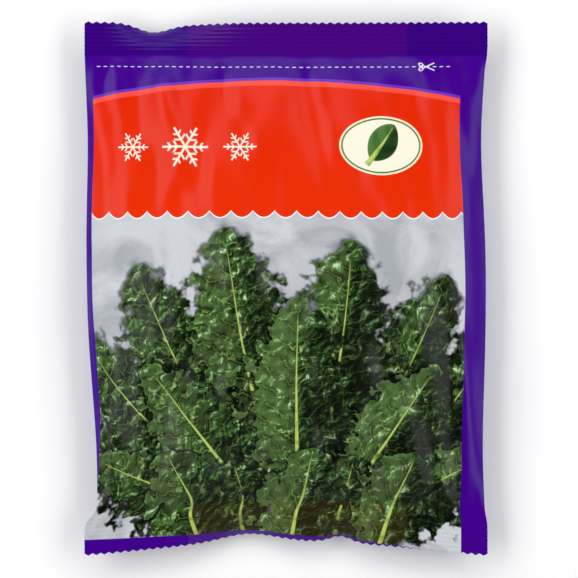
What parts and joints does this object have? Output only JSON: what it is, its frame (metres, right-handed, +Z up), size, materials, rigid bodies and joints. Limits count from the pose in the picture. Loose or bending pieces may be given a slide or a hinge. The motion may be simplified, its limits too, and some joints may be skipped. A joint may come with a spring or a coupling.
{
  "type": "frozen kale bag",
  "caption": "Sealed pillow bag of frozen cut kale lying on its back, with ribbed, zigzag-cut end seals and a fin seam down its back.",
  "frame": {"origin": "on the surface that the bag lies on, below the middle of the bag's box", "axes": "+Z up from that surface to the printed front, +Y to the bag's top seal, +X to its right side as seen on the front"},
  "size_m": [0.19, 0.2519, 0.0361],
  "materials": {
    "printed_film": "glossy printed polyethylene film",
    "frozen_leaf": "frozen dark green leaf, slightly frosted"
  },
  "bodies": {
    "root": {"bag_film": "printed_film", "kale_cut_01": "frozen_leaf", "kale_cut_02": "frozen_leaf", "kale_cut_03": "frozen_leaf", "kale_cut_04": "frozen_leaf", "kale_cut_05": "frozen_leaf", "kale_cut_06": "frozen_leaf", "kale_cut_07": "frozen_leaf", "kale_cut_08": "frozen_leaf", "kale_cut_09": "frozen_leaf", "kale_cut_10": "frozen_leaf", "kale_cut_11": "frozen_leaf", "kale_cut_12": "frozen_leaf", "kale_cut_13": "frozen_leaf", "kale_cut_14": "frozen_leaf", "kale_cut_15": "frozen_leaf", "kale_cut_16": "frozen_leaf", "kale_cut_17": "frozen_leaf", "kale_cut_18": "frozen_leaf", "kale_cut_19": "frozen_leaf", "kale_cut_20": "frozen_leaf", "kale_cut_21": "frozen_leaf", "kale_cut_22": "frozen_leaf", "kale_cut_23": "frozen_leaf", "kale_cut_24": "frozen_leaf", "kale_cut_25": "frozen_leaf", "kale_cut_26": "frozen_leaf", "kale_cut_27": "frozen_leaf", "kale_cut_28": "frozen_leaf", "kale_cut_29": "frozen_leaf", "kale_cut_30": "frozen_leaf", "kale_cut_31": "frozen_leaf", "kale_cut_32": "frozen_leaf", "kale_cut_33": "frozen_leaf", "kale_cut_34": "frozen_leaf", "kale_cut_35": "frozen_leaf", "kale_cut_36": "frozen_leaf", "kale_cut_37": "frozen_leaf", "kale_cut_38": "frozen_leaf", "kale_cut_39": "frozen_leaf", "kale_cut_40": "frozen_leaf", "kale_cut_41": "frozen_leaf", "kale_cut_42": "frozen_leaf", "kale_cut_43": "frozen_leaf", "kale_cut_44": "frozen_leaf", "kale_cut_45": "frozen_leaf", "kale_cut_46": "frozen_leaf", "kale_cut_47": "frozen_leaf", "kale_cut_48": "frozen_leaf", "kale_cut_49": "frozen_leaf", "kale_cut_50": "frozen_leaf", "kale_cut_51": "frozen_leaf"}
  },
  "joints": []
}
